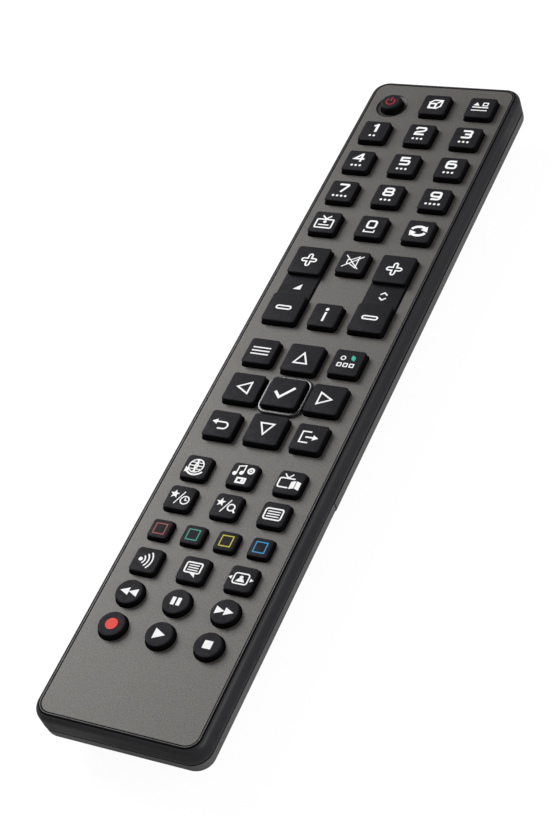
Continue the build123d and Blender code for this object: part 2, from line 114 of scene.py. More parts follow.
# Sizes and colours that a user would change


def number(name, description, default, unit="NONE"):
    """A number, shown with its unit if it has one."""
    return FloatProperty(name=name, description=description, default=default, unit=unit)


def length(name, description, default):
    """A length in metres."""
    return number(name, description, default, "LENGTH")


def colour(name, description, default):
    """A linear colour with a picker."""
    return FloatVectorProperty(
        name=name, description=description, default=default, subtype="COLOR", size=3,
        min=0.0, max=1.0,
    )


class KeySettings(PropertyGroup):
    corner: length("Corner", "Corner radius of the large square keys", 0.0010)
    small_corner: length("Small corner", "Corner radius of the small square keys", 0.0013)
    edge: length("Edge", "Rounding of the upper edge of a key", 0.00038)
    lean: length("Lean", "How far a key's side leans in on its way up", 0.00010)
    gap: length("Gap", "Dark gap between a key and the faceplate", 0.00025)
    rib_radius: length("Rib radius", "Radius of the rib that a rocker tilts on", 0.0015)
    rib_length: length("Rib length", "Length of that rib across the rocker", 0.007)
    rubber: colour("Rubber", "Colour of the silicone rubber", (0.0125, 0.0119, 0.0152))


class SymbolSettings(PropertyGroup):
    line: length("Line", "Width of a symbol's lines", 0.00045)
    thickness: length("Thickness", "Height of the printed layer over the key", 0.00002)
    digit_line: length("Digit line", "Width of the lines of the numbers", 0.00068)
    digit_width: length("Digit width", "Width of the printed numbers", 0.0034)
    digit_height: length("Digit height", "Height of the printed numbers", 0.0033)
    white: colour("White", "Printed white", (0.97, 0.97, 0.98))
    power: colour("Power", "Dark red of the power symbol", (0.33, 0.012, 0.016))
    record: colour("Record", "Orange red of the record dot", (0.80, 0.040, 0.020))
    red: colour("Red", "First colour key", (0.30, 0.055, 0.045))
    green: colour("Green", "Second colour key", (0.03, 0.30, 0.22))
    yellow: colour("Yellow", "Third colour key", (0.52, 0.46, 0.03))
    blue: colour("Blue", "Fourth colour key", (0.01, 0.28, 0.62))
    leaf: colour("Leaf", "Small green leaf of the quick menu", (0.02, 0.50, 0.33))


class HousingSettings(PropertyGroup):
    plate: colour("Plate", "Metallic paint of the faceplate", (0.0870, 0.0815, 0.0755))
    plate_corner: length("Plate corner", "Corner radius of the faceplate", 0.003)
    plate_edge: length("Plate edge", "Rounding of the edges of the faceplate", 0.00006)
    # The dark line round the faceplate is a band of painted shade in the gap to the rim
    edge_line: length("Edge line", "Width of the dark line round the faceplate", 0.00024)
    edge_drop: length("Edge drop", "How far that line lies below the faceplate", 0.00006)
    plate_gap: length("Plate gap", "Gap between the faceplate and the rim", 0.00025)
    lip_width: length("Lip width", "Width of the fine lip round the faceplate", 0.00032)
    # A little lighter than the rim: a painted highlight along the lip
    lip: colour("Lip", "Colour of that lip", (0.030, 0.030, 0.033))
    # The dark groove is a band of painted shade lying on the rim's shoulder
    groove_width: length("Groove width", "Width of the dark groove outside the lip", 0.00032)
    shoulder: length("Shoulder", "Radius of the rim's rounded shoulder", 0.002)
    dish: length("Dish", "Radius of the hollow round the power key", 0.0047)
    dish_depth: length("Dish depth", "Depth of that hollow", 0.0004)
    ring_corner: length("Ring corner", "Outer corner radius of the ring", 0.0032)
    upper: colour("Upper housing", "Satin dark plastic of the rim", (0.026, 0.026, 0.029))
    lower: colour("Lower housing", "Textured plastic of the lower body", (0.165, 0.165, 0.166))
    body_corner: length("Body corner", "Corner radius of the body seen from above", 0.0049)
    # Height of the painted shade at the top of the lower body, by the joint
    joint_shade: length("Joint shade", "Dark stretch of the lower body at the joint", 0.00022)
    # Height of the painted light on the rim's lowest stretch, over the joint
    painted_light_edge: length("Pale edge", "Paler stretch of the rim over the joint", 0.0012)
    # Inset of the band of painted shade at the joint
    joint_inset: length("Joint inset", "How deep the dark joint line lies in", 0.00003)


class StudioSettings(PropertyGroup):
    key_power: number("Key light", "Power of the main lamp", 7.0, "POWER")
    side_power: number("Side light", "Power of the low side lamp", 1.4, "POWER")
    sky: number("Sky", "Strength of the light all round", 0.30)
    floor_glow: number("Floor glow", "What the floor adds to look white", 0.95)
    floor_shade: number("Floor shade", "Share of the light, and so of the shadow, seen", 0.11)
    lens: number("Lens", "Focal length in millimetres", 81.045, "CAMERA")


# Surfaces worked out with numpy


def rounded_ring(half_x, half_y, radius, steps=7):
    """Points round a rectangle with rounded corners, anticlockwise.

    Each corner's centre lies one radius in from both sides, and its points are that
    centre plus the radius turned through a quarter, in even steps.
    """
    turn = np.linspace(0.0, pi / 2, steps)
    angle = (np.arange(4)[:, None] * pi / 2 + turn).ravel()
    side = np.repeat([1, -1, -1, 1], steps)
    end = np.repeat([1, 1, -1, -1], steps)
    x = side * (half_x - radius) + radius * np.cos(angle)
    y = end * (half_y - radius) + radius * np.sin(angle)
    return np.column_stack([x, y])


def circle_ring(radius, count=72):
    """Points round a circle, anticlockwise, at even angles."""
    angle = np.linspace(0.0, 2 * pi, count, endpoint=False)
    return radius * np.column_stack([np.cos(angle), np.sin(angle)])


def lifted(ring, height):
    """A flat ring of points at a height."""
    return np.column_stack([ring, np.full(len(ring), height)])


def stack_rings(rings, loop=False):
    """Vertices and faces of rings of points stacked into a closed skin.

    Four-cornered faces join each ring to the next. Flat caps close the first and the
    last ring, or the last ring joins the first in a loop.
    """
    rings = np.asarray(rings)
    rows, count = rings.shape[:2]
    n = np.arange(count)
    after = (n + 1) % count
    low = np.arange(rows if loop else rows - 1)[:, None] * count
    high = (low + count) % (rows * count)
    sides = np.stack([low + n, low + after, high + after, high + n], axis=-1)
    faces = sides.reshape(-1, 4).tolist()
    if not loop:
        faces += [n[::-1].tolist(), (n + (rows - 1) * count).tolist()]
    return rings.reshape(-1, 3), faces


def linked(name, data):
    """An object in the scene, at the origin."""
    piece = bpy.data.objects.new(name, data)
    bpy.context.scene.collection.objects.link(piece)
    return piece


def new_object(name, vertices, faces, smooth=True):
    """A mesh object with its place in its vertices."""
    mesh = bpy.data.meshes.new(name)
    mesh.from_pydata(np.asarray(vertices).tolist(), [], faces)
    mesh.update()
    if smooth:
        mesh.polygons.foreach_set("use_smooth", np.ones(len(mesh.polygons), bool))
        mesh.set_sharp_from_angle(angle=radians(40))
    return linked(name, mesh)


def edge_profile(low, top, edge, lean, steps=6):
    """Offset out from the outline and height, up a key's side and over its edge.

    The side leans in evenly from the foot. The edge is a quarter of a circle: it draws
    in by the radius less its cosine part, and rises by its sine part.
    """
    angle = np.linspace(0.0, pi / 2, steps)
    offset = -lean - edge * (1 - np.cos(angle))
    height = top - edge + edge * np.sin(angle)
    return np.column_stack([np.append(0.0, offset), np.append(low, height)])


def rings_round(middle, half, corner, profile, steps=12):
    """Rings round a rounded rectangle, at a profile's offsets out from it and heights.

    The corner radius grows or shrinks with the offset, down to a quarter of itself.
    """
    rings = []
    for reach, height in profile:
        radius = max(corner + reach, 0.25 * corner)
        ring = rounded_ring(*(half + reach), radius, steps) + middle
        rings.append(lifted(ring, height))
    return rings


def square_cap(centre, half, corner, low, top, edge, lean):
    """A key with a rounded square outline, which the profile's offsets draw in."""
    profile = edge_profile(low, top, edge, lean)
    return stack_rings(rings_round(centre, half, corner, profile, 7))


def round_cap(centre, radius, low, top, edge, lean):
    """A round key: circles drawn in along the profile, then in six steps over the flat top."""
    profile = edge_profile(low, top, edge, lean, 9)
    across = np.linspace(1.0, 0.06, 7)[1:]
    flat = lifted((radius + profile[-1:, :1]) * across[:, None] - radius, top)
    return stack_rings([
        lifted(circle_ring(radius + reach) + centre, height)
        for reach, height in np.vstack([profile, flat])
    ])


def round_rib(centre, radius, half_length, low, top):
    """A lying round bar: one circle of points at each end, cut flat at the top."""
    y, z = circle_ring(radius, 32).T
    skin = np.column_stack([y + centre[1], np.minimum(z + low + radius, top)])
    return stack_rings([
        np.column_stack([np.full(len(skin), centre[0] + end), skin])
        for end in (-half_length, half_length)
    ])


def merge(parts):
    """Several skins as one list of vertices and one list of faces."""
    vertices, faces, start = [], [], 0
    for points, polygons in parts:
        vertices.append(points)
        faces += [[index + start for index in polygon] for polygon in polygons]
        start += len(points)
    return np.vstack(vertices), faces


def centre_of(node_name):
    """The middle of a node seen from above, its half width and length, its foot and top."""
    low, high = (np.array(corner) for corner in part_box(node_name))
    return (low + high)[:2] / 2, (high - low)[:2] / 2, low[2], high[2]


def dress(piece, body, slot, material, *nodes):
    """Gives a piece its material, sets what it rides on and hides the nodes that it stands for.
    """
    piece.data.materials.append(material)
    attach(piece, body)
    if nodes:
        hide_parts(*nodes)
    return piece


def add_trim(name, middle, half, corner, profile, material):
    """A closed band of the housing round a rounded rectangle.

    The profile goes up the band's outer side and down its inner one.
    """
    rings = rings_round(middle, half, corner, profile)
    piece = new_object(name, *stack_rings(rings, loop=True))
    dress(piece, "housing", "housing_dark", material)


# Printed symbols, drawn in millimetres about the middle of a key. A symbol is a list of
# shapes, and a shape is one outline of an area, or the two outlines of a closed line.


def area(points):
    """A printed area inside one simple outline."""
    return [(np.asarray(points, float),)]


def band(outer, inner):
    """A printed line that closes on itself, between two outlines with as many points."""
    return [(outer, inner)]


def bar(left, low, right, high):
    """A filled rectangle between two corners."""
    return area([(left, low), (right, low), (right, high), (left, high)])


def bars(half, thick, heights):
    """Filled level bars about the middle, thick to both sides of each height."""
    return sum((bar(-half, y - thick, half, y + thick) for y in heights), [])


def disc(x, y, radius, count=28):
    """A filled circle."""
    return area(circle_ring(radius, count) + (x, y))


def hoop(x, y, radius, line):
    """A circle's line, half its width on each side of the radius."""
    outer, inner = (circle_ring(radius + side * line / 2, 36) + (x, y) for side in (1, -1))
    return band(outer, inner)


def unit(rows):
    """Each row at a length of one."""
    return rows / np.linalg.norm(rows, axis=1)[:, None]


def left_of(rows):
    """Each row turned a quarter to the left."""
    return np.column_stack([-rows[:, 1], rows[:, 0]])


def turned(points, degrees, x=0.0, y=0.0):
    """Points turned about the middle and then moved."""
    c, s = np.cos(radians(degrees)), np.sin(radians(degrees))
    return points @ np.array([[c, s], [-s, c]]) + (x, y)


def stroke(points, line):
    """A line of even width along a path of points, with mitred bends and square ends.

    Each point is moved half the line's width to both sides along the bisector of its
    two runs, lengthened by the bend's half angle.
    """
    path = np.asarray(points, float)
    run = unit(np.diff(path, axis=0))
    before = np.vstack([run[:1], run])
    after = np.vstack([run, run[-1:]])
    normal = unit(left_of(before + after))
    reach = line / 2 / np.maximum((normal * left_of(after)).sum(1), 0.4)
    side = normal * reach[:, None]
    return area(np.vstack([path - side, (path + side)[::-1]]))


def strokes(line, *paths):
    """Lines of one width along several paths."""
    return sum((stroke(path, line) for path in paths), [])


def oval(x, y, wide, high, start, end, count=18):
    """Points on an ellipse of two half widths, from one angle in degrees to another."""
    angle = np.radians(np.linspace(start, end, count))
    return np.column_stack([x + wide * np.cos(angle), y + high * np.sin(angle)])


def arc(x, y, radius, line, start, end):
    """A stretch of a circle's line, from one angle in degrees to another."""
    return stroke(oval(x, y, radius, radius, start, end, 20), line)


def frame_line(x, y, width, height, corner, line):
    """A rounded rectangle's line, all inside its outer size."""
    outer = rounded_ring(width / 2, height / 2, corner, 6) + (x, y)
    inner = rounded_ring(width / 2 - line, height / 2 - line, max(corner - line, 0.03), 6)
    return band(outer, inner + (x, y))


def polygon_line(points, line):
    """A polygon's line, drawn inwards by the line's width along each corner's bisector."""
    path = np.asarray(points, float)
    run = unit(np.roll(path, -1, axis=0) - path)
    inward = unit(left_of(run) + left_of(np.roll(run, 1, axis=0)))
    half = (inward * left_of(run)).sum(1)
    return band(path, path + inward * (line / half)[:, None])


def triangle(x, y, width, height, turn=0.0):
    """The three corners of a triangle that points along +X, then turned by degrees."""
    points = np.array([(-width / 2, -height / 2), (width / 2, 0.0), (-width / 2, height / 2)])
    return turned(points, turn, x, y)


def arrow_head(x, y, size, turn):
    """A small filled triangle that points along an angle in degrees."""
    return area(triangle(x, y, size, size * 1.15, turn))


def star(x, y, radius, points=5):
    """A star: points on two circles in turn, the inner one 0.42 of the outer."""
    step = np.arange(2 * points)
    angle = pi / 2 + step * pi / points
    reach = np.where(step % 2 == 0, radius, 0.42 * radius)
    return area(np.column_stack([x + reach * np.cos(angle), y + reach * np.sin(angle)]))


def leaf(x, y, long, wide, turn):
    """A pointed leaf: each side bows out by a sine from tip to tip, then turned by degrees."""
    along = np.linspace(0.0, 1.0, 12)
    side = np.column_stack([(along - 0.5) * long, wide / 2 * np.sin(pi * along)])
    return area(turned(np.vstack([side * (1, -1), side[-2:0:-1]]), turn, x, y))


def plus_outline(size, arm):
    """A plus sign with round ends: a half circle round each arm's end, then the inner corner."""
    radius = arm / 2
    end = oval(size / 2 - radius, 0.0, radius, radius, -90, 90, 8)
    side = np.vstack([end, [(radius, radius)]])
    return np.vstack([turned(side, turn) for turn in (0, 90, 180, 270)])


def moved(shapes, x, y):
    """The same shapes in another place."""
    return [tuple(outline + (x, y) for outline in outlines) for outlines in shapes]


def rounded_path(points, radius, steps=5):
    """An open path whose bends are rounded.

    Each inner corner gives way to a parabola's arc that leaves one run at the radius
    before the corner and joins the next at the radius after it.
    """
    path = np.asarray(points, float)
    t = np.linspace(0.0, 1.0, steps)[:, None]
    rows = [path[:1]]
    for before, corner, after in zip(path[:-2], path[1:-1], path[2:]):
        back, on = before - corner, after - corner
        reach = min(radius, 0.48 * np.linalg.norm(back), 0.48 * np.linalg.norm(on))
        start = corner + back * reach / np.linalg.norm(back)
        end = corner + on * reach / np.linalg.norm(on)
        rows.append((1 - t) ** 2 * start + 2 * t * (1 - t) * corner + t ** 2 * end)
    return np.vstack(rows + [path[-1:]])


def digit_lines(digit, width, height, line):
    """A number in wide, squarish, even strokes round its middle.

    a and b are the half width and half height to the strokes' middle. Loops are
    rounded rectangles, and the 9 is the 6 turned round.
    """
    a, b, tip = (width - line) / 2, (height - line) / 2, line / 2
    bend, loop = 0.55, 0.95
    if digit == "0":
        return frame_line(0, 0, 0.9 * width, 0.95 * height, loop, 0.9 * line)
    if digit == "8":
        upper = frame_line(0, 0.5 * b, 0.92 * width, b + line, loop, line)
        return upper + frame_line(0, -0.5 * b, width, b + line, loop, line)
    if digit in "69":
        ring = frame_line(0, -0.4 * b, width, 1.2 * b + line, loop, line)
        six = ring + stroke(rounded_path([(0.85 * a, b), (-a, b), (-a, -0.4 * b)], loop), line)
        return six if digit == "6" else [tuple(-outline for outline in shape) for shape in six]
    if digit == "1":
        stem = stroke([(0.3 * a, -b - tip), (0.3 * a, b + tip)], 1.15 * line)
        return stem + stroke([(-0.5 * a, 0.55 * b), (0.3 * a, b)], 0.9 * line)
    if digit == "4":
        slope = stroke([(0.35 * a, b), (-a, -0.38 * b), (1.2 * a, -0.38 * b)], 0.9 * line)
        return slope + stroke([(0.5 * a, b + tip), (0.5 * a, -b - tip)], line)
    bow = [(-a, 0.5 * b), (-a, b), (a, b), (a, 0.12 * b), (-a, -0.4 * b), (-a, -b)]
    hook = [(-0.9 * a, 0.12 * b), (a, 0.12 * b), (a, -b), (-a, -b)]
    paths = {
        "2": [rounded_path(bow, bend)[:-1], [(-a - tip, -b), (a, -b)]],
        "3": [
            rounded_path([(-a, b), (a, b), (a, 0), (-0.4 * a, 0)], bend),
            rounded_path([(-0.4 * a, 0), (a, 0), (a, -b), (-a, -b)], bend),
        ],
        "5": [rounded_path(hook, bend), [(0.9 * a, b), (-0.9 * a, b), (-0.9 * a, -0.12 * b)]],
        "7": [rounded_path([(-a, b), (a, b), (a, 0.7 * b), (-0.2 * a, -b - tip)], 0.3)],
    }
    return strokes(line, *paths[digit])


def symbol_mesh(shapes, centre, height, thickness):
    """A printed layer on a key's top: each area is a flat prism, each band a ring of them.

    Points are taken from millimetres about the key's middle to metres. The upper face
    is one thickness over the height, the lower one as far under it, and each later
    shape ends a little lower, so that no two lie in one plane.
    """
    parts = []
    for layer, outlines in enumerate(shapes):
        low, high = height - thickness, height + thickness - layer * LAYER
        outer, *inner = (outline * MM + centre for outline in outlines)
        rings = [lifted(outer, low), lifted(outer, high)]
        rings += [lifted(hole, z) for hole in inner for z in (high, low)]
        parts.append(stack_rings(rings, loop=bool(inner)))
    return merge(parts)


# Symbols of the keys, one function for each group


def function_symbols(line):
    """The symbols of the plain function keys, by the key's short name."""
    quick = star(-1.7, 0.8, 1.35) + stroke([(-0.9, -2), (0.9, 1.9)], 0.3)
    return {
        "depth": (
            polygon_line([(-1.8, -1.7), (0.7, -1.7), (0.7, 0.7), (-1.8, 0.7)], 0.6)
            + strokes(
                0.5, [(-1.8, 0.7), (-0.5, 1.8), (2, 1.8), (2, -0.6), (0.7, -1.7)],
                [(0.7, 0.7), (2, 1.8)],
            )
        ),
        "source": (
            area(triangle(-1.5, 1.35, 1.3, 1.9, 90))
            + frame_line(1.15, 1.35, 1.7, 1.5, 0.2, 0.35)
            + bar(-2.5, -0.2, 2.3, 0.25) + bar(-2.5, -1.4, 2.3, -1.05)
        ),
        "television": (
            frame_line(0, -0.6, 5.4, 3.6, 0.5, line)
            + strokes(line, [(-1.3, 2.35), (0, 1.2)], [(1.3, 2.35), (0, 1.2)])
            + bar(-1.6, -1.3, 1.6, -0.9) + disc(0, 0.1, 0.5)
        ),
        "swap": (
            stroke(oval(0, 0.25, 2.1, 1.35, 168, 40), 0.85)
            + arrow_head(1.95, 0.5, 1.9, -48)
            + stroke(oval(0, -0.25, 2.1, 1.35, -12, -140), 0.85)
            + arrow_head(-1.95, -0.5, 1.9, 132)
        ),
        "mute": (
            polygon_line([
                (-1.7, -0.9), (-0.7, -0.9), (1.6, -2.3), (1.6, 2.3), (-0.7, 0.9), (-1.7, 0.9),
            ], 0.3)
            + strokes(0.3, [(-2.5, 2.3), (2.3, -2.4)], [(-2.6, -2), (2.7, 2.2)])
        ),
        "info": disc(0, 2, 0.5) + stroke([(0, -2.2), (0, 1)], 0.62),
        "menu": bars(2.6, 0.2, (-1.1, 0, 1.1)),
        "quick_menu": sum((
            frame_line(x, -0.9, 1.35, 1.35, 0.2, 0.32) for x in (-1.75, 0, 1.75)
        ), []) + hoop(-1.4, 1.35, 0.6, 0.3),
        "back": (
            stroke([(-2, 0.6), (0.9, 0.6)], 0.45)
            + arc(0.9, -0.45, 1.05, 0.45, 90, -90)
            + stroke([(0.9, -1.5), (-0.6, -1.5)], 0.45)
            + arrow_head(-2.1, 0.6, 1.5, 180)
        ),
        "exit": (
            stroke([(0.3, 1.7), (-2.1, 1.7), (-2.1, -1.7), (0.3, -1.7)], 0.4)
            + stroke([(-0.9, 0), (1.6, 0)], 0.45)
            + arrow_head(1.9, 0, 1.5, 0)
        ),
        "globe": (
            hoop(-0.1, 0.3, 2, 0.34)
            + strokes(0.3, [(-0.1, -1.7), (-0.1, 2.3)], [(-2.1, 0.3), (1.9, 0.3)])
            + strokes(0.26, [(-1.8, 1.3), (1.6, 1.3)], [(-1.8, -0.7), (1.6, -0.7)])
            + arc(-2, 0.3, 2.3, 0.26, -48, 48)
            + arc(1.8, 0.3, 2.3, 0.26, 132, 228)
            + arc(0, 0.3, 2.75, 0.5, 215, 325)
            + arrow_head(-2.35, -0.9, 1.5, 122)
        ),
        "media": (
            disc(-2.2, 0.1, 0.6) + disc(-0.4, 0.5, 0.6)
            + stroke([(-1.75, 0.1), (-1.75, 2.4), (0.05, 2.8), (0.05, 0.5)], 0.35)
            + hoop(1.9, 1.4, 0.75, 0.5) + disc(1.9, 1.4, 0.28)
            + frame_line(0.3, -1.8, 2.8, 1.9, 0.2, 0.55) + disc(0.7, -1.8, 0.4)
        ),
        "guide": (
            stroke(rounded_path([(1.2, 1.2), (-2.8, 1.2), (-2.8, -1.6), (0.1, -1.6)], 0.6), 0.4)
            + strokes(0.35, [(-2, 2.5), (-0.8, 1.3)], [(0.3, 2.5), (-0.8, 1.3)])
            + area([(0.45, -1.9), (1.7, -1.5), (1.7, 0.75), (0.45, 0.35)])
            + area([(1.9, -1.5), (3.15, -1.9), (3.15, 0.35), (1.9, 0.75)])
        ),
        "timer": (
            quick + hoop(1.7, -0.6, 1.15, 0.35)
            + stroke([(1.7, 0.1), (1.7, -0.6), (2.3, -0.6)], 0.3)
        ),
        "find": quick + hoop(1.6, -0.3, 0.95, 0.38) + stroke([(2.25, -0.95), (3, -1.7)], 0.5),
        "text": (
            frame_line(0, 0, 5.1, 3.6, 0.8, 0.42) + bars(1.7, 0.16, (-0.75, 0, 0.75))
        ),
        "language": disc(-1.5, 0, 0.55) + sum((
            arc(-1.7, 0, radius, 0.38, -reach, reach)
            for radius, reach in ((1.4, 50), (2.4, 46), (3.4, 42))
        ), []),
        "subtitle": (
            frame_line(0, 0.4, 4.6, 3.3, 0.7, 0.42)
            + area([(-0.4, -1.2), (1, -1.2), (1.3, -2.3)])
            + bars(1.4, 0.15, (-0.3, 0.4, 1.1))
        ),
        "screen": (
            frame_line(0, 0, 4.2, 3.3, 0.8, 0.36)
            + arrow_head(2.9, 0, 0.9, 0) + arrow_head(-2.9, 0, 0.9, 180)
            + disc(0, 0.35, 0.5) + area([(-1.2, -0.9), (1.2, -0.9), (0.7, -0.05), (-0.7, -0.05)])
        ),
    }


def direction_symbols(line):
    """Outlined triangles on the arrow keys and a tick on the middle one."""
    arrows = {"up": (0, 0.1, 90), "down": (0, -0.1, 270), "left": (-0.1, 0, 180),
              "right": (0.1, 0, 0)}
    signs = {
        way: polygon_line(triangle(x, y, 4.2, 4.5, turn), line)
        for way, (x, y, turn) in arrows.items()
    }
    return {**signs, "ok": stroke([(-2.4, 0.1), (-0.7, -1.7), (2.6, 1.8)], 0.75)}


def media_symbols():
    """Filled symbols on the round keys."""
    signs = {
        way: sum((area(triangle(x, 0, 2.4, 2.2, turn)) for x in (-1.2, 1.2)), [])
        for way, turn in (("rewind", 180), ("forward", 0))
    }
    return {
        **signs,
        "pause": bar(-1.25, -1.1, -0.25, 1.1) + bar(0.25, -1.1, 1.25, 1.1),
        "play": area(triangle(0.15, 0, 3, 3)),
        "stop": bar(-1.1, -1.1, 1.1, 1.1),
    }


# Materials


def shaded(base, share):
    """A colour made lighter or darker by a share."""
    return tuple(min(channel * share, 1.0) for channel in base)


def rgba(base, share=1.0):
    """A share of a colour, with full cover."""
    return (*shaded(base, share), 1.0)


def fill(made, **inputs):
    """Sets a node's inputs by name, with an underscore for each space."""
    for name, value in inputs.items():
        made.inputs[name.replace("_", " ")].default_value = value
    return made


def node(tree, kind, **inputs):
    """A new shader node with some of its inputs set."""
    return fill(tree.nodes.new("ShaderNode" + kind), **inputs)


def join(source, output, target, entry):
    """Links a node's output to another node's input."""
    target.id_data.links.new(source.outputs[output], target.inputs[entry])


def new_material(name, base, roughness, metallic=0.0, shine=0.5):
    """A material with its own colour, gloss and metal share, and the nodes to add to."""
    material = bpy.data.materials.new(name)
    material.use_nodes = True
    shader = material.node_tree.nodes["Principled BSDF"]
    fill(shader, Base_Color=rgba(base), Roughness=roughness, Metallic=metallic)
    fill(shader, Specular_IOR_Level=shine)
    return material, material.node_tree, shader


def noise(tree, scale, detail=2.0, rough=0.5):
    """A noise pattern in the object's own coordinates."""
    pattern = node(tree, "TexNoise", Scale=scale, Detail=detail, Roughness=rough)
    join(node(tree, "TexCoord"), "Object", pattern, "Vector")
    return pattern


def grain(shader, scale, strength, distance, detail=2.0):
    """A fine relief from noise."""
    tree = shader.id_data
    relief = node(tree, "Bump", Strength=strength, Distance=distance)
    join(noise(tree, scale, detail), "Fac", relief, "Height")
    join(relief, "Normal", shader, "Normal")


def spread(pattern, low, high, target, entry, base=None):
    """Lets a pattern vary an input between two values, or two shares of a base colour."""
    tree = pattern.id_data
    if base:
        ramp = node(tree, "ValToRGB")
        stops = zip(ramp.color_ramp.elements, (0.35, 0.65), (low, high))
        for stop, position, share in stops:
            stop.position = position
            stop.color = rgba(base, share)
        join(pattern, "Fac", ramp, "Fac")
        join(ramp, "Color", target, entry)
    else:
        span = node(tree, "MapRange", From_Min=0.3, From_Max=0.7, To_Min=low, To_Max=high)
        join(pattern, "Fac", span, "Value")
        join(span, "Result", target, entry)


def blend_by_z(shader, source, output, start, end):
    """Paints light and shade: blends the base colour from input 6 to 7 as a vector's Z goes from
    start to end.
    """
    tree = shader.id_data
    split = node(tree, "SeparateXYZ")
    span = node(tree, "MapRange", From_Min=start, From_Max=end)
    painted_light_mix = node(tree, "Mix")
    painted_light_mix.data_type = "RGBA"
    join(node(tree, source), output, split, "Vector")
    join(split, "Z", span, "Value")
    join(span, "Result", painted_light_mix, 0)
    join(painted_light_mix, 2, shader, "Base Color")
    return painted_light_mix


def rubber_material(name, base):
    """Matte silicone rubber: a soft sheen and a fine grain, with painted shade that darkens its
    upright sides.
    """
    material, tree, shader = new_material(name, base, 0.6, shine=0.08)
    grain(shader, 9000.0, 0.10, 0.00004)
    spread(noise(tree, 900.0, 3.0), 0.50, 0.66, shader, "Roughness")
    # Painted shade: faces that stand upright get a fifth of the rubber's colour, so the sides of
    # the keys look dark.
    painted_light_mix = blend_by_z(shader, "NewGeometry", "True Normal", 0.3, 0.95)
    painted_light_mix.inputs[6].default_value = rgba(base, 0.2)
    spread(noise(tree, 260.0), 0.88, 1.15, painted_light_mix, 7, base)
    return material


def key_material(keys):
    """The rubber of all keys, made by the first operator that needs it."""
    name = "key rubber"
    return bpy.data.materials.get(name) or rubber_material(name, tuple(keys.rubber))


def plate_material(name, base):
    """Metallic paint: fine flakes in warm grey that catch the light one by one."""
    material, tree, shader = new_material(name, base, 0.55, metallic=0.30)
    spread(noise(tree, 3600.0, 3.0, 0.8), 0.62, 1.48, shader, "Base Color", base)
    grain(shader, 6800.0, 0.12, 0.00003, 1.0)
    spread(noise(tree, 2400.0), 0.50, 0.54, shader, "Roughness")
    return material


def plastic_material(name, base, roughness, relief, shine=0.32):
    """Moulded plastic with a fine eroded texture and slightly uneven gloss."""
    material, tree, shader = new_material(name, base, roughness, shine=shine)
    grain(shader, *relief, 3.0)
    dull, bright = roughness - 0.05, roughness + 0.06
    spread(noise(tree, 140.0, 3.0), dull, bright, shader, "Roughness")
    spread(noise(tree, 60.0), 0.93, 1.07, shader, "Base Color", base)
    return material


def shade_edge(material, start, end, tone):
    """Paints a band of light or shade: leads a plastic's colour to another tone between two
    heights, by its own Z.
    """
    shader = material.node_tree.nodes["Principled BSDF"]
    painted = shader.inputs["Base Color"].links[0].from_socket
    painted_light_mix = blend_by_z(shader, "TexCoord", "Object", start, end)
    painted_light_mix.inputs[7].default_value = rgba(tone)
    shader.id_data.links.new(painted, painted_light_mix.inputs[6])


def print_material(name, base):
    """Printed ink: nearly matte, with a slight unevenness of its layer."""
    material, tree, shader = new_material(name, base, 0.5, shine=0.2)
    spread(noise(tree, 2600.0), 0.93, 1.04, shader, "Base Color", base)
    return material


def gloss_material(name, base, roughness, transmission=0.0):
    """Polished plastic with faint flow marks."""
    material, tree, shader = new_material(name, base, roughness)
    fill(shader, Transmission_Weight=transmission, Coat_Weight=0.4)
    spread(noise(tree, 220.0), 0.8 * roughness, 1.3 * roughness, shader, "Roughness")
    spread(noise(tree, 90.0), 0.9, 1.1, shader, "Base Color", base)
    return material


def steel_material(name, base, roughness):
    """Bare or printed metal with fine drawing marks along one way."""
    material, tree, shader = new_material(name, base, roughness, metallic=0.9)
    stretch = node(tree, "Mapping", Scale=(1.0, 30.0, 1.0))
    marks = node(tree, "TexNoise", Scale=120.0, Detail=3.0)
    join(node(tree, "TexCoord"), "Object", stretch, "Vector")
    join(stretch, "Vector", marks, "Vector")
    spread(marks, 0.7 * roughness, 1.3 * roughness, shader, "Roughness")
    spread(marks, 0.85, 1.08, shader, "Base Color", base)
    return material


def board_material(base):
    """Lacquered circuit board with lighter copper tracks under the lacquer."""
    material, tree, shader = new_material("circuit board", base, 0.3)
    tracks = node(
        tree, "TexBrick", Scale=260.0, Color1=rgba(base), Color2=rgba(base, 0.8),
        Mortar=rgba(base, 2.2),
    )
    join(node(tree, "TexCoord"), "Object", tracks, "Vector")
    join(tracks, "Color", shader, "Base Color")
    return material


def seen_apart(tree, others, seen, out):
    """Shows one shader to the camera and another to all other rays."""
    mix = node(tree, "MixShader")
    join(node(tree, "LightPath"), "Is Camera Ray", mix, "Fac")
    join(others, 0, mix, 1)
    join(seen, 0, mix, 2)
    join(mix, "Shader", out, "Surface")


# Operators: one for each piece or group of like pieces, and one for the stage


